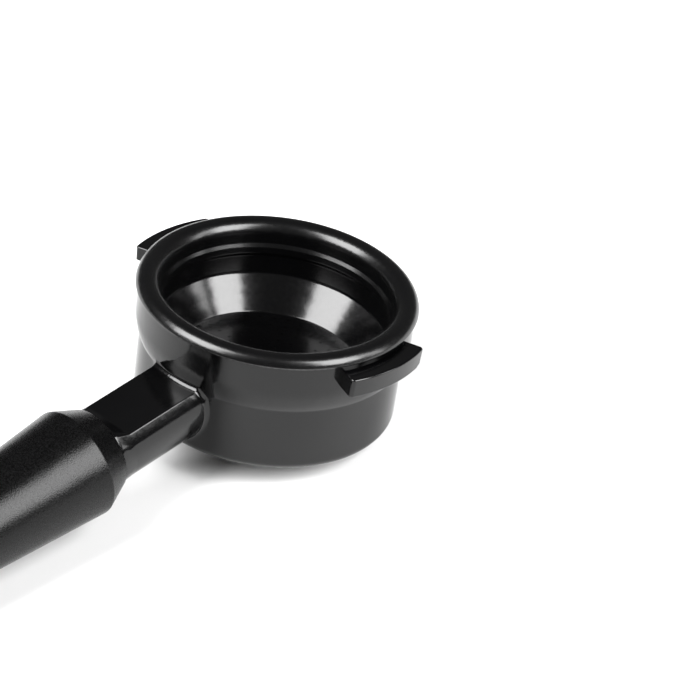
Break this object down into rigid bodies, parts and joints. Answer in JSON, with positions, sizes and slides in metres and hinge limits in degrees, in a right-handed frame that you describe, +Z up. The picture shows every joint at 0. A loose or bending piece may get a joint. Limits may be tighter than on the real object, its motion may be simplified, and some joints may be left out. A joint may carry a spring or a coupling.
{
  "type": "portafilter",
  "caption": "Round black filter holder with a pressed filter basket, bayonet lugs, an open bottom and a long waisted handle, for a coffee machine.",
  "frame": {"origin": "centre of the head's base ring, on the head's axis", "axes": "+Z up from the table that the part lies on, the handle runs towards -Y, the two lugs point along +X and -X; the head's own axis leans back towards +Y by 6.94 degrees"},
  "size_m": [0.0798, 0.214, 0.0408],
  "materials": {
    "head_enamel": "gloss black",
    "basket_coating": "gloss black coating",
    "spring_steel": "drawn wire",
    "grip_anodised": "bead-blasted, black anodised",
    "black_rubber": "matte",
    "bolt_steel": "plain",
    "cap_plastic": "matte"
  },
  "bodies": {
    "head": {"holder_body": "head_enamel", "grip": "grip_anodised", "grip_seal": "black_rubber", "tie_bolt": "bolt_steel", "plain_washer": "bolt_steel", "lock_washer": "spring_steel", "end_cap": "cap_plastic", "cap_o_ring": "black_rubber"},
    "spring": {"basket_spring": "spring_steel"},
    "basket": {"filter_basket": "basket_coating"}
  },
  "joints": [
    {"name": "basket_turn", "type": "hinge", "parent": "head", "child": "spring", "pos_m": [0, 0, 0], "axis": [0, 0.1209, 0.9927], "continuous": true},
    {"name": "basket_lift", "type": "slide", "parent": "spring", "child": "basket", "axis": [0, 0.1209, 0.9927], "range_m": [0, 0.04]}
  ]
}
